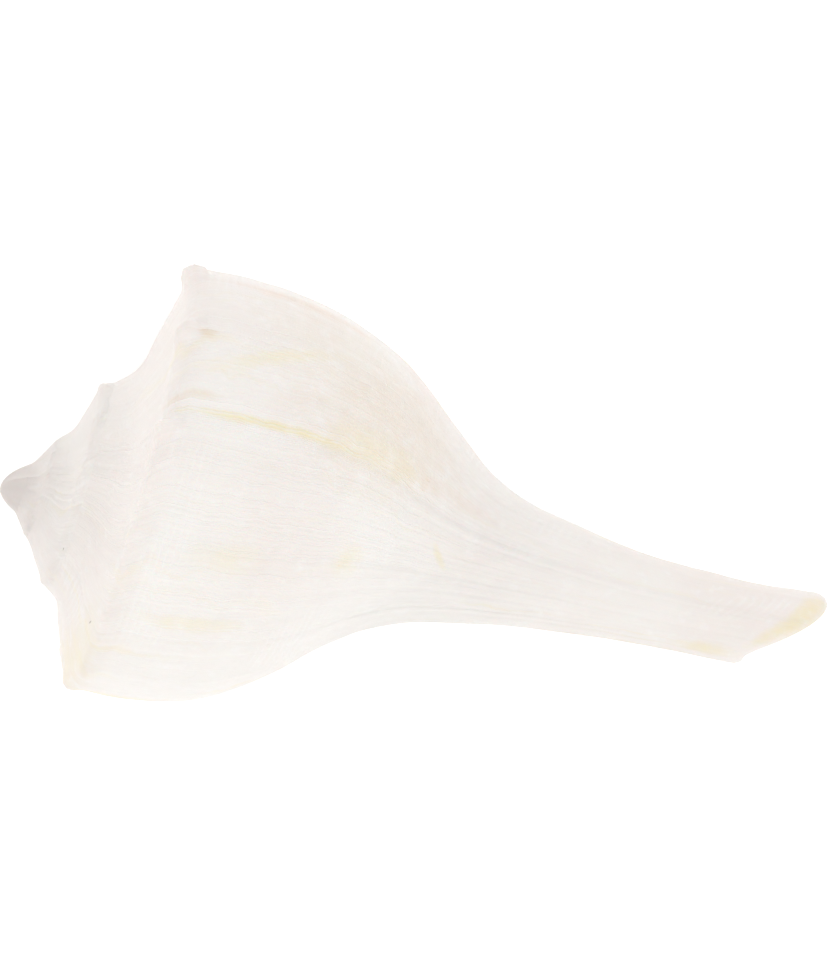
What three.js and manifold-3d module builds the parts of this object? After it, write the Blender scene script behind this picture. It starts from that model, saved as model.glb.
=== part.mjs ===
// A left-handed whelk shell, hollow and in one piece, lying on its aperture.
// It is built in a shell frame: X runs along the coiling axis from the apex to the end of the canal,
// +Y points to the side of the outer lip and +Z to the back. It is then laid down on its rests.
// Growth is counted in turns. Growth 0 faces +Y, and older shell has a negative growth.
// Lengths are in millimetres.
import * as THREE from "three";
import { mergeVertices } from "three/addons/utils/BufferGeometryUtils.js";
import Module from "manifold-3d";

const wasm = await Module();
wasm.setup();

// Driving dimensions
const shellLength = 173.5; // apex to the end of the canal, along the axis
const radiusPerTurn = 2.05; // how much wider the shell is after one more turn
const lengthPerTurn = 1.87; // how much further along the axis the shoulder is after one more turn
const lipGrowth = 0.081; // where the outer lip ends
const spireTurns = 2.75; // whorls from the nucleus to the lip
const apexAlong = -0.2; // where the blunt nucleus starts on the axis
const chamberTurns = 1.45; // how far the hollow runs in from the lip
const lipOvershoot = 0.035; // and out of it, so that the cut is clean
const wallThickness = 2.4;
const callusThickness = 0.4; // glaze on the inner side of the aperture
const columellaAtNeck = 7.5; // radius of the central pillar where the body ends
const columellaAtTip = 1.9; // and at the end of the canal
const columellaOnset = 5; // how soon it has its full radius
const columellaClearance = 0.4; // between its glaze and the wall where they come closest
const hollowCorner = 0.03; // share of the outline left solid on both sides of the suture
const hollowReachFrom = 0.62; // turns back at which the hollow starts to reach past the neck
const hollowReachTo = 0.3; // and comes to the canal's end
const canalOpenFrom = 0.34; // turns back at which it starts to come out of that end
const canalOpenTo = 0.22; // and is fully out
const hollowOvershoot = 5; // how far it comes out, so that the cut is clean
const neckStart = 60; // along the axis: where the body starts to narrow into the canal
const neckEnd = 96; // and where the canal proper begins
const tipCut = 0.09; // how much shorter the canal is on its far side, as a share of its length
const tipCutFrom = 0.07; // turns back from growth 0 at which that starts
const tipCutTo = 0.36; // and is complete
const canalMiddle = 156; // where the filled end of the canal meets the axis
const canalCurl = 1.22; // how tightly the canal's wall curls back to the pillar
const knobsPerTurn = 13;
const knobHeight = 1.7;
const spireWear = 1.3; // how far the older shoulders are worn in, at the same scale
const wearFrom = 0.7; // turns back from growth 0 at which that starts
const wearTo = 1.6; // and is complete
const spireSmoothing = 0.8; // how nearly the worn spire is a plain cone, from 0 to 1
const smoothFrom = 0.75; // turns back from growth 0 at which that starts
const smoothTo = 1.6; // and is complete
const knobLead = 0.015; // turns from +Y to the nearest knob
const lineLag = 0.02; // turns that a growth line falls back on the ramp
const lineLead = 0.047; // turns that it leads at the end of the canal
const restTilt = THREE.MathUtils.degToRad(8.02); // how it lies: canal down
const restRoll = THREE.MathUtils.degToRad(1.17); // and lip up, until three places touch
const contactWear = 0.8; // how deep the three places are worn flat
const slabDepth = 40; // of the slab that wears them
const blendSharpness = 4; // of the blend between the wall and the pillar

// Mesh steps
const stepsPerTurn = 52; // spireTurns times this is a whole number
const rampSteps = 7;
const bodySteps = 24;
const chamberStepsPerTurn = 26;
const wallSteps = 22;
const coreSteps = 18;
const nucleusSteps = 3;

// The wall's outline at growth 0, from the suture over the shoulder to the end of the canal:
// distance along the axis, then distance from it. The suture lies on the whorl before.
const shoulder = [29.4, 51.6];
const coveredFrom = [33.6, 52.3];
const outline = new THREE.CatmullRomCurve3(
  [
    [coveredFrom[0] / lengthPerTurn, coveredFrom[1] / radiusPerTurn],
    [22.0, 29.4],
    [24.6, 37.0],
    [27.3, 45.4],
    shoulder,
    coveredFrom,
    [50.0, 51.8],
    [65.0, 48.2],
    [80.0, 40.4],
    [91.0, 30.8],
    [102.0, 22.9],
    [123.0, 16.9],
    [146.0, 14.2],
    [shellLength, 14.9],
  ].map(([along, out]) => new THREE.Vector3(along, out, 0)),
  false,
  "centripetal",
);
outline.arcLengthDivisions = 1500;

const { smoothstep, lerp } = THREE.MathUtils;
const rise = (from, to, x) => smoothstep(x, from, to);

// The share of the outline's length at which it reaches a distance along the axis.
function shareAt(along) {
  let low = 0;
  let high = 1;
  while (high - low > 1e-7) {
    const middle = (low + high) / 2;
    if (outline.getPointAt(middle).x < along) low = middle;
    else high = middle;
  }
  return low;
}
const coverShare = shareAt(coveredFrom[0]);
const shoulderShare = shareAt(shoulder[0]);
const neckShare = shareAt(neckEnd);

// Two radii blended into the larger one.
function largerOf(a, b) {
  return (a ** blendSharpness + b ** blendSharpness) ** (1 / blendSharpness);
}

// How far the shoulder stands out with its row of knobs, before it is scaled with growth.
function knobSwell(share, growth) {
  const reach = coverShare - shoulderShare;
  const across = Math.max(0, 1 - ((share - shoulderShare) / reach) ** 2) ** 2;
  const round = Math.max(0, Math.cos(2 * Math.PI * knobsPerTurn * (growth + knobLead))) ** 3;
  return (knobHeight * round - spireWear * rise(wearFrom, wearTo, -growth)) * across;
}

// How far a growth line runs ahead of its own half-plane, in turns.
function lineShift(share) {
  if (share < coverShare) return -lineLag * Math.sin((Math.PI * share) / coverShare);
  return lineLead * rise(coverShare, 1, share);
}

// A point of the wall at a share of the outline and a growth, in the shell frame, moved by depth
// into the wall and by ahead along the axis. Chamber walls keep clear of the pillar.
function wallPoint(share, growth, { depth = 0, ahead = 0, pillarClearance = 0 } = {}) {
  if (share === 0 && depth === 0) return wallPoint(coverShare, growth - 1);
  const base = outline.getPointAt(share);
  if (share < coverShare) {
    const onCone = outline.getPointAt(0).lerp(outline.getPointAt(coverShare), share / coverShare);
    base.lerp(onCone, spireSmoothing * rise(smoothFrom, smoothTo, -growth));
  }
  const heading = outline.getTangentAt(share);
  const canal = rise(neckStart, shellLength, base.x);
  const widening = radiusPerTurn ** growth;
  const curl = canalCurl * canal * (Math.hypot(growth, 0.1) - 0.1);
  const shortening = 1 - tipCut * canal * rise(tipCutFrom, tipCutTo, -growth);
  const inwards = depth - knobSwell(share, growth) * widening * (depth > 0 ? 0 : 1);
  const along =
    base.x * lengthPerTurn ** (growth * (1 - canal)) * shortening + inwards * heading.y + ahead;
  const wall = Math.max(0, base.y * widening * Math.exp(-2 * curl) - inwards * heading.x);
  const pillar = lerp(columellaAtNeck, columellaAtTip, canal) * Math.min(1, canal * columellaOnset);
  const out = largerOf(wall, pillar + pillarClearance);
  const angle = -2 * Math.PI * (growth + lineShift(share));
  return new THREE.Vector3(along, out * Math.cos(angle), out * Math.sin(angle));
}

// Collects triangles, which may be flat to nothing where edges meet, into a closed solid.
class Skin {
  corners = [];
  triangle(a, b, c) {
    this.corners.push(a, b, c);
  }
  quad(a, b, c, d) {
    this.triangle(a, b, c);
    this.triangle(a, c, d);
  }
  // A grid of rows of points, joined row to row.
  grid(rows) {
    for (let i = 1; i < rows.length; i++)
      for (let j = 1; j < rows[i].length; j++)
        this.quad(rows[i - 1][j - 1], rows[i - 1][j], rows[i][j], rows[i][j - 1]);
  }
  // A strip between two lines of points, which may have different numbers of them.
  strip(a, b) {
    for (let i = 0, j = 0; i < a.length - 1 || j < b.length - 1; ) {
      const nextOnA = (i + 1) / (a.length - 1);
      const nextOnB = (j + 1) / (b.length - 1);
      if (nextOnA <= nextOnB) this.triangle(a[i], a[++i], b[j]);
      else this.triangle(a[i], b[j + 1], b[j++]);
    }
  }
  // A fan from a line of points to one middle point.
  fan(line, middle) {
    for (let i = 1; i < line.length; i++) this.triangle(line[i - 1], line[i], middle);
  }
  solid() {
    return solidOf(new THREE.BufferGeometry().setFromPoints(this.corners));
  }
}

// Merges a geometry's corners and drops the triangles that this leaves without an area.
function solidOf(geometry) {
  geometry.deleteAttribute("normal");
  geometry.deleteAttribute("uv");
  const merged = mergeVertices(geometry, 1e-4);
  const triangles = [];
  for (let i = 0; i < merged.index.count; i += 3) {
    const [a, b, c] = [0, 1, 2].map((k) => merged.index.getX(i + k));
    if (a !== b && b !== c && c !== a) triangles.push(a, b, c);
  }
  return new wasm.Manifold(
    new wasm.Mesh({
      numProp: 3,
      vertProperties: merged.attributes.position.array,
      triVerts: new Uint32Array(triangles),
    }),
  );
}

const steps = (from, to, count) =>
  Array.from({ length: count + 1 }, (_, i) => lerp(from, to, i / count));

// The shell as if its aperture were filled flush: the spire's ribbon, the last whorl, the flat of
// the aperture and two small fans at the apex and at the end of the canal.
function filledShell() {
  const skin = new Skin();
  const oldest = lipGrowth - spireTurns;
  const rampShares = steps(0, coverShare, rampSteps);
  const bodyShares = steps(coverShare, 1, bodySteps);
  const ribbonGrowths = steps(oldest, lipGrowth, Math.round(spireTurns * stepsPerTurn));
  const bodyGrowths = steps(lipGrowth - 1, lipGrowth, stepsPerTurn);
  const line = (growth, shares) => shares.map((share) => wallPoint(share, growth));
  skin.grid(ribbonGrowths.map((growth) => line(growth, rampShares)));
  skin.grid(bodyGrowths.map((growth) => line(growth, bodyShares)));

  const rimOfNucleus = [
    ...line(oldest, rampShares).reverse().slice(0, -1),
    ...ribbonGrowths.slice(0, stepsPerTurn + 1).map((growth) => wallPoint(0, growth)),
  ];
  const domeRings = steps(0, 1, nucleusSteps).map((inwards) =>
    rimOfNucleus.map(
      (p) =>
        new THREE.Vector3(
          apexAlong + (p.x - apexAlong) * (1 - inwards) ** 2,
          p.y * (1 - inwards),
          p.z * (1 - inwards),
        ),
    ),
  );
  skin.grid(domeRings);

  const rimOfCanal = bodyGrowths.map((growth) => wallPoint(1, growth));
  const canalCentre = new THREE.Vector3(canalMiddle, 0, 0);
  skin.fan([...rimOfCanal].reverse(), canalCentre);
  skin.triangle(rimOfCanal[0], rimOfCanal.at(-1), canalCentre);

  const shares = [...rampShares.slice(0, -1), ...bodyShares];
  skin.strip(line(lipGrowth, shares), line(lipGrowth - 1, bodyShares));
  return skin.solid();
}

// The hollow: a tube that follows the growth, between the wall and the whorl before it.
function hollow() {
  const skin = new Skin();
  const section = (growth) => {
    const thin = Math.min(1, radiusPerTurn ** (growth * 0.5));
    const end = lerp(neckShare, 1, rise(-hollowReachFrom, -hollowReachTo, growth));
    const past = 0.01 + hollowOvershoot * rise(-canalOpenFrom, -canalOpenTo, growth);
    const wall = { depth: wallThickness * thin, pillarClearance: callusThickness + columellaClearance };
    const core = { depth: -callusThickness };
    const wallSide = steps(hollowCorner, end, wallSteps).map((share) => wallPoint(share, growth, wall));
    const coreSide = steps(end, coverShare + hollowCorner, coreSteps).map((share) =>
      wallPoint(share, growth - 1, core),
    );
    // The core's growth line is turned on by one whole turn, so both sides share a half-plane.
    return [
      ...wallSide,
      wallPoint(end, growth, { ...wall, ahead: past }),
      wallPoint(end, growth - 1, { ...core, ahead: past }),
      ...coreSide,
    ];
  };
  const growths = steps(
    lipGrowth - chamberTurns,
    lipGrowth + lipOvershoot,
    Math.round((chamberTurns + lipOvershoot) * chamberStepsPerTurn),
  );
  const rings = growths.map((growth) => {
    const ring = section(growth);
    return [...ring, ring[0]];
  });
  skin.grid(rings);
  const middleOf = (ring) =>
    ring
      .slice(1)
      .reduce((sum, p) => sum.add(p), new THREE.Vector3())
      .divideScalar(ring.length - 1);
  skin.fan([...rings[0]].reverse(), middleOf(rings[0]));
  skin.fan(rings.at(-1), middleOf(rings.at(-1)));
  return skin.solid();
}

function geometryOf(solid) {
  const mesh = solid.getMesh();
  const geometry = new THREE.BufferGeometry();
  geometry.setAttribute("position", new THREE.BufferAttribute(mesh.vertProperties, 3));
  geometry.setIndex(new THREE.BufferAttribute(mesh.triVerts, 1));
  return geometry;
}

// The lowest and highest corners of a geometry once it is turned as it lies.
function boxAtRest(geometry) {
  const turned = geometry.clone().applyMatrix4(atRest);
  turned.computeBoundingBox();
  return turned.boundingBox;
}

const atRest = new THREE.Matrix4().makeRotationFromEuler(new THREE.Euler(restRoll, restTilt, 0));
const carved = filledShell().subtract(hollow());

// Everything below the worn flats, as a slab in the shell frame.
const slab = new THREE.BoxGeometry(3 * shellLength, 2 * shellLength, slabDepth);
slab.translate(0, 0, boxAtRest(geometryOf(carved)).min.z + contactWear - slabDepth / 2);
slab.applyMatrix4(atRest.clone().invert());
const shellGeometry = geometryOf(carved.subtract(solidOf(slab)));

const shellMaterial = new THREE.MeshStandardMaterial({
  color: 0xf3eee8,
  roughness: 0.45,
  metalness: 0,
});
const shell = new THREE.Mesh(shellGeometry, shellMaterial);
shell.name = "conch_shell";
shell.rotation.set(restRoll, restTilt, 0);

// The origin is under the middle of the resting shell's box.
const box = boxAtRest(shellGeometry);
const middle = box.getCenter(new THREE.Vector3());
shell.position.set(-middle.x, -middle.y, -box.min.z);

const group = new THREE.Group();
group.add(shell);

export default group;
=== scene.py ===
# A left-handed whelk shell, worn white, lying on its aperture and seen from straight above
import math
import bpy
from mathutils import Matrix, Vector
from mathutils.geometry import interpolate_bezier


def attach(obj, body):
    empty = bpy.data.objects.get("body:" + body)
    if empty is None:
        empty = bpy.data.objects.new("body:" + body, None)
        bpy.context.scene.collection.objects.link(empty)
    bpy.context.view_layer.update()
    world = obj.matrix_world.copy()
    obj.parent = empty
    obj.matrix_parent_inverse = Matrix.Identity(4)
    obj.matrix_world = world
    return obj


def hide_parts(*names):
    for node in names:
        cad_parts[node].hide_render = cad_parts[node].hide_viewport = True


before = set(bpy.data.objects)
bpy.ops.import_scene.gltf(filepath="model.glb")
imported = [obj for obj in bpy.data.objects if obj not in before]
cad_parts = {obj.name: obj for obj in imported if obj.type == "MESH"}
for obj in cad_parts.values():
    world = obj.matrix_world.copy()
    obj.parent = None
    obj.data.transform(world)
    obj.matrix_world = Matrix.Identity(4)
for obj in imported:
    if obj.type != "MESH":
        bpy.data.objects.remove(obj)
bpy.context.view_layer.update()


# small helpers for writing node trees as formulas


class Wire:  # one node output, which can be added, multiplied and so on
    def __init__(self, tree, socket):
        self.tree, self.socket = tree, socket

    def do(self, operation, *others):
        return calculate(self.tree, operation, self, *others)

    def __add__(self, other):
        return self.do("ADD", other)

    def __sub__(self, other):
        return self.do("SUBTRACT", other)

    def __rsub__(self, other):
        return calculate(self.tree, "SUBTRACT", other, self)

    def __mul__(self, other):
        return self.do("MULTIPLY", other)

    def __truediv__(self, other):
        return self.do("DIVIDE", other)

    def __rtruediv__(self, other):
        return calculate(self.tree, "DIVIDE", other, self)

    def __pow__(self, other):
        return self.do("POWER", other)

    def __neg__(self):
        return self * -1.0

    def ease(self, low, high, start=0.0, end=1.0):  # smooth step from start to end
        node = addNode(self.tree, "ShaderNodeMapRange", interpolation_type="SMOOTHSTEP")
        for socket, value in zip(node.inputs, (self, low, high, start, end)):
            feed(self.tree, value, socket)
        return Wire(self.tree, node.outputs[0])

    def mixTo(self, other, amount):
        return self + (other - self) * amount

    def split(self):
        parts = addNode(self.tree, "ShaderNodeSeparateXYZ", {"Vector": self}).outputs
        return [Wire(self.tree, part) for part in parts]


def feed(tree, value, socket):
    if isinstance(value, Wire):
        tree.links.new(value.socket, socket)
    else:
        socket.default_value = value


def calculate(tree, operation, *values):
    node = addNode(tree, "ShaderNodeMath", operation=operation)
    for value, socket in zip(values, node.inputs):
        feed(tree, value, socket)
    return Wire(tree, node.outputs[0])


def addNode(tree, kind, inputs=None, **settings):
    node = tree.nodes.new(kind)
    for name, value in settings.items():
        setattr(node, name, value)
    for name, value in (inputs or {}).items():
        feed(tree, value, node.inputs[name])
    return node


def addWire(tree, kind, output, inputs=None, **settings):
    return Wire(tree, addNode(tree, kind, inputs, **settings).outputs[output])


def combine(tree, x, y, z):
    return addWire(tree, "ShaderNodeCombineXYZ", "Vector", {"X": x, "Y": y, "Z": z})


def noiseAt(tree, place, scale, detail=2.0, roughness=0.5):
    return addWire(
        tree, "ShaderNodeTexNoise", "Fac",
        {"Vector": place, "Scale": scale, "Detail": detail, "Roughness": roughness},
    )


def lineNoise(tree, place, detail, roughness=0.5):
    return addWire(
        tree, "ShaderNodeTexNoise", "Fac", {"W": place, "Detail": detail, "Roughness": roughness},
        noise_dimensions="1D",
    )


def always(tree, value):  # the same value everywhere
    wire = addWire(tree, "ShaderNodeValue", "Value")
    wire.socket.default_value = value
    return wire


def bellAround(value, middle, width):  # 1 in the middle, falling to 0 over about two widths
    away = (value - middle) / width
    return (away * away * -1.0).do("EXPONENT")


def startTree(name, kind, inputs, outputs):
    tree = bpy.data.node_groups.new(name, kind)
    for label, socketType, value in inputs:
        socket = tree.interface.new_socket(label, in_out="INPUT", socket_type=socketType)
        if value is not None:
            socket.default_value = value
    for label, socketType in outputs:
        tree.interface.new_socket(label, in_out="OUTPUT", socket_type=socketType)
    sockets = tree.nodes.new("NodeGroupInput").outputs
    given = {socket.name: Wire(tree, socket) for socket in sockets if socket.name}
    return tree, given, tree.nodes.new("NodeGroupOutput")


# the shell: lengths in millimetres along and out from the coiling axis, growth in turns

shell = {
    "outline": [  # at growth 0, from the suture over the shoulder to the end of the canal
        (18.0, 25.5), (22.0, 29.4), (24.6, 37.0), (27.3, 45.4), (29.4, 51.6), (33.6, 52.3), (50.0, 51.8),
        (65.0, 48.2), (80.0, 40.4), (91.0, 30.8), (102.0, 22.9), (123.0, 16.9), (146.0, 14.2), (173.5, 14.9),
    ],
    "outlineSteps": 24,
    "shoulderPoint": 4,
    "coverPoint": 5,  # the next whorl's suture lies here
    "neckPoint": 9.5,  # between the body and the canal
    "tiltDeg": 8.02,  # how it lies
    "rollDeg": 1.17,
    "apexAt": (-85.956, -7.997, 34.087),
    "sharpAngle": 0.9,  # radians, above which an edge isn't smoothed
    "growth": {  # the sizes that the tree takes, and their names on the modifier
        "Radius per turn": 2.05,
        "Length per turn": 1.87,
        "Lip growth": 0.081,
        "Knobs per turn": 13.0,
        "Knob height": 1.7,
        "Knob lead": 0.015,
        "Spire wear": 1.3,
        "Shoulder dip": 0.6,  # between the knobs
        "Spire smoothing": 0.8,
        "Line lag": 0.02,
        "Line lead": 0.047,
        "Pillar at neck": 7.5,
        "Pillar at tip": 1.9,
        "Neck start": 60.0,
        "Shell length": 173.5,
        "Tip cut": 0.09,
        "Canal curl": 1.22,
        "Shoulder share": 0.0,  # worked out from the outline below
        "Cover share": 0.0,
        "Neck share": 0.0,
        "Wall": 2.4,
        "Lip wall": 1.5,
        "Callus": 0.4,
        "Chamber turns": 1.45,
        "Scar growth": -0.163,
    },
    "counts": {  # mesh steps, and their names on the modifier
        "Rows per turn": 299,
        "Ramp steps": 26,
        "Body steps": 134,
        "Chamber rows": 150,
        "Chamber steps": 70,
    },
    "wall": {  # how the wall departs from a smooth spiral; turns are counted back from growth 0
        "spireTurns": 2.75,
        "apexAlong": -0.2,  # where the blunt nucleus starts on the axis
        "canalMiddle": 156.0,  # where the filled end of the canal meets the axis
        "wearTurns": (0.7, 1.6),  # where the old shoulders' wear starts and is complete
        "smoothTurns": (0.75, 1.6),
        "tipCutTurns": (0.07, 0.36),
        "knobSpread": 2.5,  # how closely a knob keeps to the shoulder
        "knobPoint": 2.2,  # how sharp it is
        "knobTip": 0.006,  # and how blunt at its very tip
        "knobLeast": 0.6,  # height of the lowest knobs
        "knobsDiffer": 0.9,  # and how much more the highest may have
        "oldKnobs": 0.8,
        "youngKnobs": 2.0,  # the youngest stand out most
        "youngTurns": (-0.3, -0.02),  # growth over which they get there
        "knobNoise": 11.0,
        "welts": 0.55,  # along the growth
        "weltsPerTurn": 34.0,
        "weltsFade": (0.55, 0.85),  # share of the outline
        "lumps": 1.3,
        "lumpsPerTurn": 7.0,
        "lumpsAcross": 9.0,
        "scarDepth": 0.4,
        "scarFades": (0.45, 0.80),  # share of the outline
        "scarWidth": 0.005,
        "curlSoftness": 0.1,  # turns over which the curl sets in
        "pillarOnset": 5.0,  # how soon the pillar has its full radius
        "blendSharpness": 4.0,  # between the wall and the pillar
        "rimRows": 8.0,  # closer rows near the lip, for its rounded edge
        "rimStep": 0.0009,  # and the turns between them
        "rimShare": 0.015,  # share of the outline that is rounded at the end of the canal
        "capSteps": 8,
        "mergeDistance": 0.002,
    },
    "hollow": {  # the body's chamber and the open canal
        "beyondRows": 4.0,  # out of the lip, so that the cut is clean
        "beyondTurns": 0.035,
        "reachTurns": (-0.62, -0.3),  # growth from which it reaches past the neck, to the canal's end
        "openTurns": (-0.34, -0.22),  # and comes out of that end
        "overshoot": 5.0,
        "corner": 0.03,  # share of the outline left solid at the suture
        "clearance": 0.4,  # between the pillar's glaze and the wall where they come closest
        "lipThinning": (0.06, 0.008),  # turns before the lip's edge
        "callusRunout": 0.08,  # the same, for the glaze on the inner side
    },
}
growth, counts, wall, hollow = (shell[part] for part in ("growth", "counts", "wall", "hollow"))


def drawOutline():
    data = bpy.data.curves.new("outline", "CURVE")
    data.dimensions = "3D"
    data.resolution_u = shell["outlineSteps"]
    line = data.splines.new("BEZIER")
    line.bezier_points.add(len(shell["outline"]) - 1)
    for point, (along, out) in zip(line.bezier_points, shell["outline"]):
        point.co = (along, out, 0)
        point.handle_left_type = point.handle_right_type = "AUTO"
    curve = bpy.data.objects.new("outline", data)
    bpy.context.scene.collection.objects.link(curve)
    bpy.context.view_layer.update()
    reach = [0.0]  # length of the line up to each point
    for a, b in zip(line.bezier_points, line.bezier_points[1:]):
        run = interpolate_bezier(a.co, a.handle_right, b.handle_left, b.co, shell["outlineSteps"] + 1)
        reach.append(reach[-1] + sum((q - p).length for p, q in zip(run, run[1:])))
    return curve, reach


def sizeSockets():
    return [(name, "NodeSocketFloat", value) for name, value in growth.items()]


def buildWall():
    # where a spot of the wall is, from its share of the outline's length and its growth
    asked = ("Share", "Growth", "Depth", "Ahead", "Clearance", "Relief")
    tree, given, result = startTree(
        "shellWall", "GeometryNodeTree",
        [("Outline", "NodeSocketGeometry", None), *[(name, "NodeSocketFloat", 0.0) for name in asked],
         *sizeSockets()],
        [("Position", "NodeSocketVector")],
    )
    cover, shoulderShare = given["Cover share"], given["Shoulder share"]
    onSuture = given["Share"].do("LESS_THAN", 1e-6)
    share = given["Share"] + onSuture * cover
    age = given["Growth"] - onSuture
    sample = addNode(
        tree, "GeometryNodeSampleCurve", {"Curves": given["Outline"], "Factor": share}, mode="FACTOR"
    )
    baseAlong, baseOut, _ = Wire(tree, sample.outputs["Position"]).split()
    ends = []  # the worn spire is nearly a plain cone between its sutures
    for factor in (0.0, cover):
        end = addWire(
            tree, "GeometryNodeSampleCurve", "Position", {"Curves": given["Outline"], "Factor": factor},
            mode="FACTOR",
        )
        ends.append(end.split())
    onRamp = share.do("LESS_THAN", cover)
    conic = (-age).ease(*wall["smoothTurns"]) * given["Spire smoothing"] * onRamp
    baseAlong = baseAlong.mixTo(ends[0][0].mixTo(ends[1][0], share / cover), conic)
    baseOut = baseOut.mixTo(ends[0][1].mixTo(ends[1][1], share / cover), conic)
    headAlong, headOut, _ = Wire(tree, sample.outputs["Tangent"]).split()
    canal = baseAlong.ease(given["Neck start"], given["Shell length"])
    widening = given["Radius per turn"] ** age

    offShoulder = (share - shoulderShare) / (cover - shoulderShare)
    across = (1.0 - offShoulder * offShoulder).do("MAXIMUM", 0.0) ** wall["knobSpread"]
    turned = (age + given["Knob lead"]) * given["Knobs per turn"] * (2 * math.pi)
    uneven = lineNoise(tree, age * wall["knobNoise"], 1.0)
    half = (turned * 0.5).do("SINE")
    peak = (1.0 - (half * half + wall["knobTip"]).do("SQRT")).do("MAXIMUM", 0.0) ** wall["knobPoint"]
    knob = peak * (uneven * wall["knobsDiffer"] + wall["knobLeast"])
    knob = knob * age.ease(*wall["youngTurns"], wall["oldKnobs"], wall["youngKnobs"])
    worn = given["Spire wear"] * (-age).ease(*wall["wearTurns"]) + given["Shoulder dip"] * (1.0 - peak)
    swell = (given["Knob height"] * knob - worn * (1.0 - conic)) * across

    welts = lineNoise(tree, age * wall["weltsPerTurn"], 3.0, 0.6)
    lumpsAt = combine(tree, age * wall["lumpsPerTurn"], share * wall["lumpsAcross"], 0.0)
    lumps = noiseAt(tree, lumpsAt, 1.0)
    groove = bellAround(age, given["Scar growth"], wall["scarWidth"])
    groove = groove * share.ease(shoulderShare, cover + 0.02) * share.ease(*wall["scarFades"], 1.0, 0.15)
    calm = share.ease(*wall["weltsFade"], 1.0, 0.25)  # growth lines crowd together on the canal
    relief = (welts - 0.5) * wall["welts"] * calm - groove * wall["scarDepth"]
    relief = relief + (lumps - 0.5) * wall["lumps"]
    relief = relief * share.ease(0.0, 0.05) * given["Relief"]  # none at the suture

    onSurface = 1.0 - given["Depth"].do("GREATER_THAN", 1e-6)
    inwards = given["Depth"] - (swell + relief) * widening * onSurface
    soft = wall["curlSoftness"]
    curl = given["Canal curl"] * canal * ((age * age + soft * soft).do("SQRT") - soft)
    shortening = 1.0 - given["Tip cut"] * canal * (-age).ease(*wall["tipCutTurns"])
    along = baseAlong * (given["Length per turn"] ** (age * (1.0 - canal))) * shortening
    along = along + inwards * headOut + given["Ahead"]
    reach = (baseOut * widening * (curl * -2.0).do("EXPONENT") - inwards * headAlong).do("MAXIMUM", 0.0)
    pillar = given["Pillar at neck"].mixTo(given["Pillar at tip"], canal)
    pillar = pillar * (canal * wall["pillarOnset"]).do("MINIMUM", 1.0) + given["Clearance"]
    sharpness = wall["blendSharpness"]
    out = (reach ** sharpness + pillar ** sharpness) ** (1 / sharpness)
    lag = (share / cover).do("MINIMUM", 1.0) * math.pi
    shift = share.ease(cover, 1.0) * given["Line lead"] - lag.do("SINE") * given["Line lag"]
    angle = (age + shift) * (-2 * math.pi)
    position = combine(tree, along, out * angle.do("COSINE"), out * angle.do("SINE"))
    feed(tree, position, result.inputs["Position"])
    return tree


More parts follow.
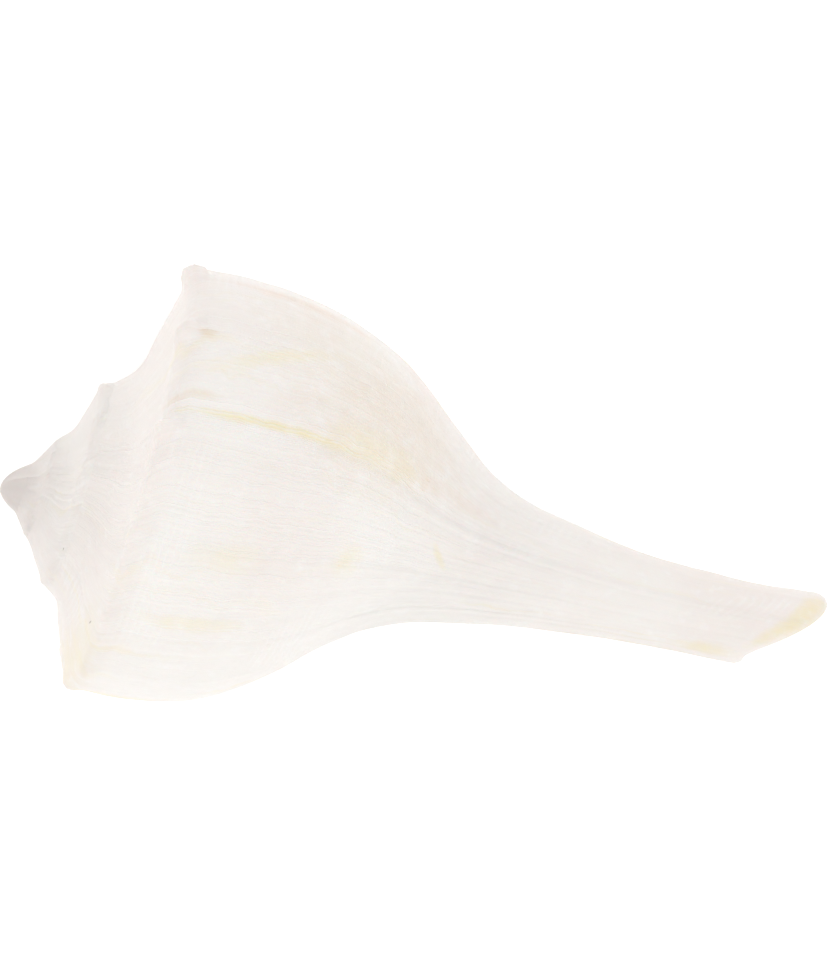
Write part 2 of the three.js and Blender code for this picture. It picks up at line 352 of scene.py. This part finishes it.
def buildShellTree(wallTree, weathered, glazed):
    countSockets = [(name, "NodeSocketInt", value) for name, value in counts.items()]
    tree, given, result = startTree(
        "growShell", "GeometryNodeTree",
        [("Geometry", "NodeSocketGeometry", None), ("Outline", "NodeSocketObject", None),
         *countSockets, *sizeSockets(),
         ("Lay rotation", "NodeSocketRotation", None), ("Lay offset", "NodeSocketVector", None)],
        [("Geometry", "NodeSocketGeometry")],
    )
    outline = addWire(tree, "GeometryNodeObjectInfo", "Geometry", {"Object": given["Outline"]})
    cover, lip = given["Cover share"], given["Lip growth"]
    rows, ramp, body = given["Rows per turn"], given["Ramp steps"], given["Body steps"]
    spireRows = (rows * wall["spireTurns"]).do("ROUND")
    suture, canalEnd = always(tree, 0.0), always(tree, 1.0)
    capSteps, rimRows, rimStep = wall["capSteps"], wall["rimRows"], wall["rimStep"]
    rimTurns = rimRows * rimStep

    def spotOf(share, age, depth=0.0, ahead=0.0, clearance=0.0, relief=1.0):
        node = addNode(tree, "GeometryNodeGroup", node_tree=wallTree)
        feed(tree, outline, node.inputs["Outline"])
        for name in growth:
            feed(tree, given[name], node.inputs[name])
        asked = {
            "Share": share, "Growth": age, "Depth": depth, "Ahead": ahead,
            "Clearance": clearance, "Relief": relief,
        }
        for name, value in asked.items():
            feed(tree, value, node.inputs[name])
        return Wire(tree, node.outputs["Position"])

    def ageOf(row, rowsInTurn):  # growth of a row counted back from the lip
        whole = (row / rowsInTurn + 1e-4).do("FLOOR")
        rest = row - whole * rowsInTurn
        even = (1.0 - rimTurns) / (rowsInTurn - rimRows)
        return lip - whole - (rest * rimStep).do("MAXIMUM", (rest - rimRows) * even + rimTurns)

    def bodyShare(step):
        return cover + (1.0 - cover) * (step / body).do("MINIMUM", 1.0)

    def rounded(age, share):  # how far the rim has rolled over, from 0 to 1
        onLip = (age - (lip - rimTurns)) / rimTurns
        onEnd = (share - (1.0 - wall["rimShare"])) / wall["rimShare"]
        near = onLip.do("MAXIMUM", onEnd).do("MAXIMUM", 0.0).do("MINIMUM", 1.0)
        near = near * share.ease(0.0, 0.04)  # none at the suture
        return 1.0 - (1.0 - near * near).do("SQRT")

    def outside(share, age):
        return spotOf(share, age, depth=rounded(age, share) * given["Lip wall"] * 0.5)

    def toward(spot, inwards, along, power):
        x, y, z = spot.split()
        left = 1.0 - inwards
        return combine(tree, (x - along) * left ** power + along, y * left, z * left)

    def withMap(mesh, share, age):
        value = combine(tree, age, share, 0.0)
        return addWire(
            tree, "GeometryNodeStoreNamedAttribute", "Geometry",
            {"Geometry": mesh, "Name": "shellMap", "Value": value}, data_type="FLOAT2", domain="CORNER",
        )

    def sheet(across, up, place):
        mesh = addWire(
            tree, "GeometryNodeMeshGrid", "Mesh",
            {"Size X": 1.0, "Size Y": 1.0, "Vertices X": across + 1, "Vertices Y": up + 1},
        )
        x, y, _ = addWire(tree, "GeometryNodeInputPosition", "Position").split()
        i = ((x + 0.5) * across).do("ROUND")
        j = ((y + 0.5) * up).do("ROUND")
        share, age, spot = place(i, j)
        mesh = withMap(mesh, share, age)
        return addWire(tree, "GeometryNodeSetPosition", "Geometry", {"Geometry": mesh, "Position": spot})

    def ribbon(i, j):
        share, age = cover * j / ramp, ageOf(i, rows)
        return share, age, outside(share, age)

    def lastWhorl(i, j):
        share, age = bodyShare(j), ageOf(i, rows)
        return share, age, outside(share, age)

    def domeOverStart(i, j):
        share, age = cover * (1.0 - i / ramp), ageOf(spireRows, rows)
        return share, age, toward(outside(share, age), j / capSteps, wall["apexAlong"], 2.0)

    def domeOverTurn(i, j):
        share, age = suture, ageOf(spireRows - i, rows)
        return share, age, toward(outside(share, age), j / capSteps, wall["apexAlong"], 2.0)

    def canalCap(i, j):
        share, age = canalEnd, ageOf(i, rows)
        return share, age, toward(outside(share, age), j / capSteps, wall["canalMiddle"], 1.0)

    def canalSeam(i, j):
        share, age = canalEnd, ageOf((1.0 - i) * rows, rows)
        return share, age, toward(outside(share, age), j / capSteps, wall["canalMiddle"], 1.0)

    def aperture(i, j):  # 0 is on the whorl before, 1 on the lip
        onRamp = cover * j / ramp
        past = j.do("GREATER_THAN", ramp)
        lipShare = onRamp.mixTo(bodyShare(j - ramp), past)
        share = bodyShare(j).mixTo(lipShare, i)
        age = ageOf(rows * (1.0 - i), rows)
        return share, age, outside(share, age)

    sheets = [
        sheet(spireRows, ramp, ribbon), sheet(rows, body, lastWhorl),
        sheet(ramp, capSteps, domeOverStart), sheet(rows, capSteps, domeOverTurn),
        sheet(rows, capSteps, canalCap), sheet(1, capSteps, canalSeam), sheet(1, ramp + body, aperture),
    ]
    joined = addNode(tree, "GeometryNodeJoinGeometry")
    for part in sheets:
        tree.links.new(part.socket, joined.inputs[0])
    filled = addWire(
        tree, "GeometryNodeMergeByDistance", "Geometry",
        {"Geometry": Wire(tree, joined.outputs[0]), "Distance": wall["mergeDistance"]},
    )

    # the hollow is a box bent along the growth, with one side on the wall and one on the whorl before
    chamberRows, steps = given["Chamber rows"], given["Chamber steps"]
    beyondRows = hollow["beyondRows"]
    chamberLength = (chamberRows * given["Chamber turns"]).do("ROUND") + beyondRows
    box = addWire(
        tree, "GeometryNodeMeshCube", "Mesh",
        {"Vertices X": steps + 2.0, "Vertices Y": 2, "Vertices Z": chamberLength + 1.0},
    )
    x, y, z = addWire(tree, "GeometryNodeInputPosition", "Position").split()
    i = ((x + 0.5) * (steps + 1.0)).do("ROUND")
    onCore = (y + 0.5).do("ROUND")
    row = ((0.5 - z) * chamberLength).do("ROUND")
    inner = (row - beyondRows).do("MAXIMUM", 0.0)
    beyond = (beyondRows - row).do("MAXIMUM", 0.0) / beyondRows
    age = ageOf(inner, chamberRows) + beyond * hollow["beyondTurns"]
    end = given["Neck share"].mixTo(1.0, age.ease(*hollow["reachTurns"]))
    pastEnd = age.ease(*hollow["openTurns"]) * hollow["overshoot"] + 0.01
    along = (i / steps).do("MINIMUM", 1.0)
    share = (onCore * cover + hollow["corner"]).mixTo(end, along)
    thin = (given["Radius per turn"] ** (age * 0.5)).do("MINIMUM", 1.0)
    rim = rounded(age.do("MINIMUM", lip), share)
    thinFrom, thinTo = hollow["lipThinning"]
    wallDepth = (given["Wall"] * thin).mixTo(given["Lip wall"], age.ease(lip - thinFrom, lip - thinTo))
    wallDepth = wallDepth.mixTo(given["Lip wall"] * 0.5 - 0.04, rim)  # just short of the rim's middle
    runsOut = age.ease(lip - hollow["callusRunout"], lip + 0.004)
    callus = -given["Callus"] + (given["Callus"] + 0.15) * runsOut
    spot = spotOf(
        share, age - onCore, depth=wallDepth.mixTo(callus, onCore),
        ahead=i.do("GREATER_THAN", steps) * pastEnd,
        clearance=(1.0 - onCore) * (given["Callus"] + hollow["clearance"]), relief=0.0,
    )
    cutter = withMap(box, share, age)
    cutter = addWire(
        tree, "GeometryNodeStoreNamedAttribute", "Geometry",
        {"Geometry": cutter, "Name": "inside", "Value": 1.0}, data_type="FLOAT", domain="FACE",
    )
    cutter = addWire(tree, "GeometryNodeSetPosition", "Geometry", {"Geometry": cutter, "Position": spot})
    carved = addNode(tree, "GeometryNodeMeshBoolean", operation="DIFFERENCE", solver="MANIFOLD")
    tree.links.new(filled.socket, carved.inputs["Mesh 1"])
    tree.links.new(cutter.socket, carved.inputs["Mesh 2"])
    mesh = Wire(tree, carved.outputs["Mesh"])

    # laid down, and worn flat where it touches
    mesh = addWire(
        tree, "GeometryNodeTransform", "Geometry",
        {"Geometry": mesh, "Rotation": given["Lay rotation"], "Translation": given["Lay offset"],
         "Scale": (0.001, 0.001, 0.001)},
    )
    x, y, z = addWire(tree, "GeometryNodeInputPosition", "Position").split()
    mesh = addWire(
        tree, "GeometryNodeSetPosition", "Geometry",
        {"Geometry": mesh, "Position": combine(tree, x, y, z.do("MAXIMUM", 0.0))},
    )
    mesh = addWire(tree, "GeometryNodeSetShadeSmooth", "Geometry", {"Geometry": mesh})
    angle = addWire(tree, "GeometryNodeInputMeshEdgeAngle", "Unsigned Angle")
    sharp = angle.do("GREATER_THAN", shell["sharpAngle"])
    mesh = addWire(
        tree, "GeometryNodeSetShadeSmooth", "Geometry",
        {"Geometry": mesh, "Selection": sharp, "Shade Smooth": False}, domain="EDGE",
    )
    mesh = addWire(tree, "GeometryNodeRealizeInstances", "Geometry", {"Geometry": mesh})
    mesh = addWire(tree, "GeometryNodeSetMaterial", "Geometry", {"Geometry": mesh, "Material": weathered})
    inside = addWire(
        tree, "GeometryNodeInputNamedAttribute", "Attribute", {"Name": "inside"}, data_type="FLOAT"
    )
    mesh = addWire(
        tree, "GeometryNodeSetMaterial", "Geometry",
        {"Geometry": mesh, "Selection": inside.do("GREATER_THAN", 0.5), "Material": glazed},
    )
    feed(tree, mesh, result.inputs["Geometry"])
    return tree


def growShell(weathered, glazed):
    curve, reach = drawOutline()

    def shareOf(point):
        whole = int(point)
        part = point - whole
        return (reach[whole] + part * (reach[min(whole + 1, len(reach) - 1)] - reach[whole])) / reach[-1]

    growth["Shoulder share"] = shareOf(shell["shoulderPoint"])
    growth["Cover share"] = shareOf(shell["coverPoint"])
    growth["Neck share"] = shareOf(shell["neckPoint"])
    tree = buildShellTree(buildWall(), weathered, glazed)
    source = bpy.data.objects.new("shellSource", bpy.data.meshes.new("shellSource"))
    bpy.context.scene.collection.objects.link(source)
    modifier = source.modifiers.new("growShell", "NODES")
    modifier.node_group = tree
    roll = Matrix.Rotation(math.radians(shell["rollDeg"]), 3, "X")
    lay = roll @ Matrix.Rotation(math.radians(shell["tiltDeg"]), 3, "Y")
    wanted = {
        "Outline": curve, **counts, **growth,
        "Lay rotation": lay.to_euler("XYZ"), "Lay offset": Vector(shell["apexAt"]) / 1000,
    }
    for item in tree.interface.items_tree:
        if item.item_type == "SOCKET" and item.in_out == "INPUT" and item.name in wanted:
            modifier[item.identifier] = wanted[item.name]
    evaluated = source.evaluated_get(bpy.context.evaluated_depsgraph_get())
    mesh = bpy.data.meshes.new_from_object(evaluated)
    mesh.name = "whelkShell"
    piece = bpy.data.objects.new("whelkShell", mesh)
    bpy.context.scene.collection.objects.link(piece)
    for helper in (source, curve):
        bpy.data.objects.remove(helper)
    return piece


# surface: chalky white outside, glazed cream inside, both following the growth

surface = {
    "chalk": (0.885, 0.850, 0.815, 1),
    "blush": (0.850, 0.775, 0.735, 1),  # older and greyer patches
    "bleached": (0.930, 0.915, 0.900, 1),
    "cream": (0.880, 0.790, 0.580, 1),  # streaks along the growth
    "stain": (0.870, 0.775, 0.480, 1),
    # tan for real patches, also used for two marks of painted shade beside the knobs
    "tanAndPaintedShade": (0.800, 0.665, 0.515, 1),
    "rust": (0.820, 0.640, 0.520, 1),
    # dark brown, used only for painted shade: the dark inside of two small pits
    "paintedPitShade": (0.300, 0.230, 0.180, 1),
    "roughness": (0.42, 0.62),
    "bumpDepth": 0.0004,
    "threads": 105.0,
    "linesPerTurn": 150.0,
    "lineDepth": 0.40,
    "threadDepth": 0.14,
    "specular": 0.3,
    "translucency": 0.08,
    "translucencyDepth": 0.004,
    "broadScale": 26.0,  # noise, by the metre
    "fineScale": 240.0,
    "gritScale": 1400.0,
    "markEdge": 2.6,  # how ragged the marks are
    "marks": {  # growth, share, half width in growth, half length in share, lean, strength
        "tanAndPaintedShade": [
            (-0.110, 0.430, 0.0480, 0.170, 0.00, 0.55), (-0.060, 0.340, 0.0300, 0.120, 0.00, 0.35),
            # painted shade, not tan: the shadow beside a knob of the last whorl, and the shade along one side
            # of the knob ridge by the old lip scar
            (-0.096, 0.187, 0.0030, 0.014, 0.00, 0.90), (-0.149, 0.180, 0.0025, 0.045, 0.00, 0.60),
            (-0.620, 0.380, 0.0500, 0.150, 0.20, 0.40),
        ],
        "stain": [
            (-0.161, 0.300, 0.0026, 0.150, 0.00, 0.95),  # down the old lip scar
            (-0.150, 0.440, 0.0120, 0.100, 0.05, 0.45),
            (-0.103, 0.280, 0.0050, 0.090, 0.32, 0.50),  # from the knob beside the painted shadow
            (-0.225, 0.590, 0.0045, 0.022, -1.00, 0.60),
            (-0.254, 0.450, 0.0100, 0.030, 0.00, 0.45),
            (-0.263, 0.285, 0.0080, 0.060, 0.00, 0.32),
            (-0.320, 0.270, 0.0050, 0.090, 0.00, 0.40),
            (-0.415, 0.120, 0.0600, 0.060, 0.00, 0.45),
            (-0.455, 0.225, 0.0080, 0.080, 0.10, 0.45),
            (-0.341, 0.950, 0.0250, 0.045, 0.00, 0.60),  # edge of the canal
            (-0.160, 0.985, 0.0700, 0.020, 0.00, 1.00),  # worn end of the canal
            (-0.700, 0.300, 0.0090, 0.110, 0.10, 0.60),
            (-0.830, 0.480, 0.0150, 0.090, -0.10, 0.50),
        ],
        "rust": [
            (-0.024, 0.290, 0.0060, 0.110, 0.00, 0.50), (-0.135, 0.560, 0.0080, 0.110, 0.15, 0.30),
        ],
        # two small dark specks of painted shade, where two pits are
        "paintedPitShade": [(-1.318, 0.168, 0.0020, 0.0020, 0.00, 1.00), (-0.341, 0.111, 0.0014, 0.0022, 0.00, 1.00)],
    },
}


def blendColor(tree, amount, first, second):
    node = addNode(tree, "ShaderNodeMix", data_type="RGBA")
    for index, value in ((0, amount), (6, first), (7, second)):
        feed(tree, value, node.inputs[index])
    return Wire(tree, node.outputs[2])


def buildGrain():
    # fine growth lines and spiral threads, for both sides of the wall
    depths = [("Lines per turn", 100.0), ("Line depth", 1.0), ("Threads", 100.0), ("Thread depth", 1.0)]
    tree, given, result = startTree(
        "shellGrain", "ShaderNodeTree", [(name, "NodeSocketFloat", value) for name, value in depths],
        [(name, "NodeSocketFloat") for name in ("Growth", "Share", "Height", "Lines", "Threads", "Bands")],
    )
    shellMap = addWire(tree, "ShaderNodeUVMap", "UV", uv_map="shellMap")
    age, share, _ = shellMap.split()
    waver = noiseAt(tree, combine(tree, age * 14.0, share * 22.0, 0.0), 1.0)
    lines = lineNoise(tree, age * given["Lines per turn"] + waver * 1.4, 4.0, 0.62)
    phase = (share * given["Threads"] + waver * 1.2) * (2 * math.pi)
    thread = (phase.do("SINE") * 0.5 + 0.5) ** 2.0
    patches = noiseAt(tree, combine(tree, age * 10.0, share * 8.0, 3.0), 1.0, 3.0).ease(0.54, 0.72)
    thread = thread * patches
    bands = noiseAt(tree, combine(tree, age * 46.0 + waver * 2.0, share * 3.0, 7.0), 1.0, 3.0, 0.6)
    calm = share.ease(0.50, 0.85, 1.0, 0.45)  # growth lines crowd together on the canal
    height = lines * given["Line depth"] * calm + thread * given["Thread depth"]
    for name, value in zip(result.inputs.keys(), (age, share, height, lines, thread, bands)):
        feed(tree, value, result.inputs[name])
    return tree


def markMask(tree, age, share, marks, ragged):
    total = None
    for atAge, atShare, width, length, lean, strength in marks:
        middle = (share - atShare) * lean + atAge
        across = ((age - middle) / (width * 2.0)).do("ABSOLUTE")
        down = ((share - atShare) / length).do("ABSOLUTE")
        away = across ** 2.0 + down ** 2.0 + (ragged - 0.5) * surface["markEdge"]
        mask = away.ease(1.1, -0.7) * strength
        total = mask if total is None else total.do("MAXIMUM", mask)
    return total


def startMaterial(name, grain, values):
    material = bpy.data.materials.new(name)
    material.use_nodes = True
    tree = material.node_tree
    shader = tree.nodes["Principled BSDF"]
    group = addNode(tree, "ShaderNodeGroup", node_tree=grain)
    for label, value in values.items():
        group.inputs[label].default_value = value
    grainAt = {socket.name: Wire(tree, socket) for socket in group.outputs}
    place = addWire(tree, "ShaderNodeTexCoord", "Object")
    return material, tree, shader, grainAt, place


def addBump(tree, shader, height, depth):
    normal = addWire(tree, "ShaderNodeBump", "Normal", {"Height": height, "Distance": depth, "Strength": 1.0})
    feed(tree, normal, shader.inputs["Normal"])


def makeWeathered(grain):
    material, tree, shader, grainAt, place = startMaterial(
        "weatheredShell", grain,
        {"Lines per turn": surface["linesPerTurn"], "Line depth": surface["lineDepth"],
         "Threads": surface["threads"], "Thread depth": surface["threadDepth"]},
    )
    age, share = grainAt["Growth"], grainAt["Share"]
    broad = noiseAt(tree, place, surface["broadScale"], 3.0, 0.55)
    fine = noiseAt(tree, place, surface["fineScale"], 3.0, 0.65)
    grit = noiseAt(tree, place, surface["gritScale"], 2.0, 0.6)
    color = blendColor(tree, broad.ease(0.40, 0.68) * 0.55, surface["chalk"], surface["blush"])
    color = blendColor(tree, share.ease(0.20, 0.15) * 0.45, color, surface["blush"])
    color = blendColor(tree, grainAt["Bands"].ease(0.56, 0.74) * 0.40, color, surface["cream"])
    color = blendColor(tree, grainAt["Lines"].ease(0.50, 0.75) * 0.45, color, surface["bleached"])
    color = blendColor(tree, grainAt["Threads"] * 0.30, color, surface["bleached"])
    color = blendColor(tree, fine.ease(0.52, 0.75) * 0.35, color, surface["bleached"])
    ragged = fine.mixTo(grainAt["Lines"], 0.5)
    for name, marks in surface["marks"].items():
        edge = 0.5 if name == "paintedPitShade" else ragged  # the painted shade of the pits has clean edges
        mask = markMask(tree, age, share, marks, edge)
        color = blendColor(tree, mask, color, surface[name])
    feed(tree, color, shader.inputs["Base Color"])
    low, high = surface["roughness"]
    feed(tree, (fine * 0.6 + broad * 0.4).ease(0.35, 0.65, low, high), shader.inputs["Roughness"])
    addBump(tree, shader, grainAt["Height"] + fine * 0.35 + grit * 0.10, surface["bumpDepth"])
    shader.inputs["Specular IOR Level"].default_value = surface["specular"]
    shader.inputs["Subsurface Weight"].default_value = surface["translucency"]
    shader.inputs["Subsurface Scale"].default_value = surface["translucencyDepth"]
    return material


glaze = {
    "deep": (0.870, 0.620, 0.390, 1),
    "pale": (0.900, 0.800, 0.680, 1),
    "edge": (0.900, 0.870, 0.830, 1),
    "roughness": (0.20, 0.34),
    "bumpDepth": 0.0003,
    "threads": 46.0,
    "linesPerTurn": 60.0,
    "lineDepth": 0.35,
    "threadDepth": 0.25,
    "cloudScale": 45.0,
    "coat": 0.25,
    "coatRoughness": 0.15,
}


def makeGlazed(grain):
    material, tree, shader, grainAt, place = startMaterial(
        "glazedShell", grain,
        {"Lines per turn": glaze["linesPerTurn"], "Line depth": glaze["lineDepth"],
         "Threads": glaze["threads"], "Thread depth": glaze["threadDepth"]},
    )
    age = grainAt["Growth"]
    cloud = noiseAt(tree, place, glaze["cloudScale"], 3.0)
    color = blendColor(tree, (age + cloud * 0.3).ease(-0.55, 0.22), glaze["deep"], glaze["pale"])
    color = blendColor(tree, grainAt["Bands"].ease(0.35, 0.85) * 0.40, color, glaze["edge"])
    color = blendColor(tree, age.ease(0.0, 0.085), color, glaze["edge"])
    feed(tree, color, shader.inputs["Base Color"])
    low, high = glaze["roughness"]
    feed(tree, cloud.ease(0.35, 0.65, low, high), shader.inputs["Roughness"])
    addBump(tree, shader, grainAt["Height"], glaze["bumpDepth"])
    shader.inputs["Coat Weight"].default_value = glaze["coat"]
    shader.inputs["Coat Roughness"].default_value = glaze["coatRoughness"]
    return material


grain = buildGrain()
weathered = makeWeathered(grain)
glazed = makeGlazed(grain)
print("materials made")
shellPiece = growShell(weathered, glazed)
print("shell grown:", len(shellPiece.data.polygons), "faces")

# floor, light and camera

studio = {
    "lens": 180.0,
    "sensor": 36.0,
    "pictureShape": 969 / 828,  # height by width
    "axisTurnDeg": 12.45,  # how far the shell is turned clockwise in the view
    "fieldWidth": 0.17,  # at the height of the aim
    "aim": (-0.00361, 0.01078, 0.03),
    "floorSize": 6.0,
    "floorTone": 0.9,
    "floorGlow": 0.38,
    "skyStrength": 0.89,
    "panels": [  # name, place, size, watts, colour
        ("overhead", (0.04, -0.20, 1.0), 0.7, 1.8, (1.0, 0.995, 0.98)),
        ("left", (-0.65, 0.05, 0.42), 0.6, 0.28, (1.0, 0.99, 0.97)),
        ("right", (0.55, -0.60, 0.45), 0.6, 0.25, (1.0, 0.99, 0.97)),
    ],
}

floorMesh = bpy.data.meshes.new("floor")
half = studio["floorSize"] / 2
corners = [(-half, -half, 0), (half, -half, 0), (half, half, 0), (-half, half, 0)]
floorMesh.from_pydata(corners, [], [(0, 1, 2, 3)])
floor = bpy.data.objects.new("floor", floorMesh)
bpy.context.scene.collection.objects.link(floor)
floorMaterial = bpy.data.materials.new("paleFloor")
floorMaterial.use_nodes = True
floorShader = floorMaterial.node_tree.nodes["Principled BSDF"]
floorShader.inputs["Base Color"].default_value = (*[studio["floorTone"]] * 3, 1)
floorShader.inputs["Roughness"].default_value = 0.8
floorShader.inputs["Emission Color"].default_value = (1, 1, 1, 1)
floorShader.inputs["Emission Strength"].default_value = studio["floorGlow"]
floorMesh.materials.append(floorMaterial)

world = bpy.data.worlds.new("studio")
bpy.context.scene.world = world
world.use_nodes = True
sky = world.node_tree.nodes["Background"].inputs
sky["Color"].default_value = (1, 1, 1, 1)
sky["Strength"].default_value = studio["skyStrength"]


def addPanel(name, place, size, watts, color):  # a soft box aimed at the shell
    data = bpy.data.lights.new(name, "AREA")
    data.energy = watts
    data.size = size
    data.color = color
    panel = bpy.data.objects.new(name, data)
    panel.location = place
    toShell = Vector((0, 0, studio["aim"][2])) - panel.location
    panel.rotation_euler = toShell.to_track_quat("-Z", "Y").to_euler()
    bpy.context.scene.collection.objects.link(panel)


for lamp in studio["panels"]:
    addPanel(*lamp)

cameraData = bpy.data.cameras.new("camera")
cameraData.lens = studio["lens"]
cameraData.sensor_width = studio["sensor"]
camera = bpy.data.objects.new("camera", cameraData)
distance = studio["lens"] / studio["sensor"] * studio["fieldWidth"] * studio["pictureShape"]
camera.location = Vector(studio["aim"]) + Vector((0, 0, distance))
camera.rotation_euler = (0, 0, math.radians(studio["axisTurnDeg"]))
bpy.context.scene.collection.objects.link(camera)
bpy.context.scene.camera = camera
bpy.context.scene.view_settings.view_transform = "Standard"
print("floor, light and camera placed")

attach(shellPiece, "root")
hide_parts("conch_shell")
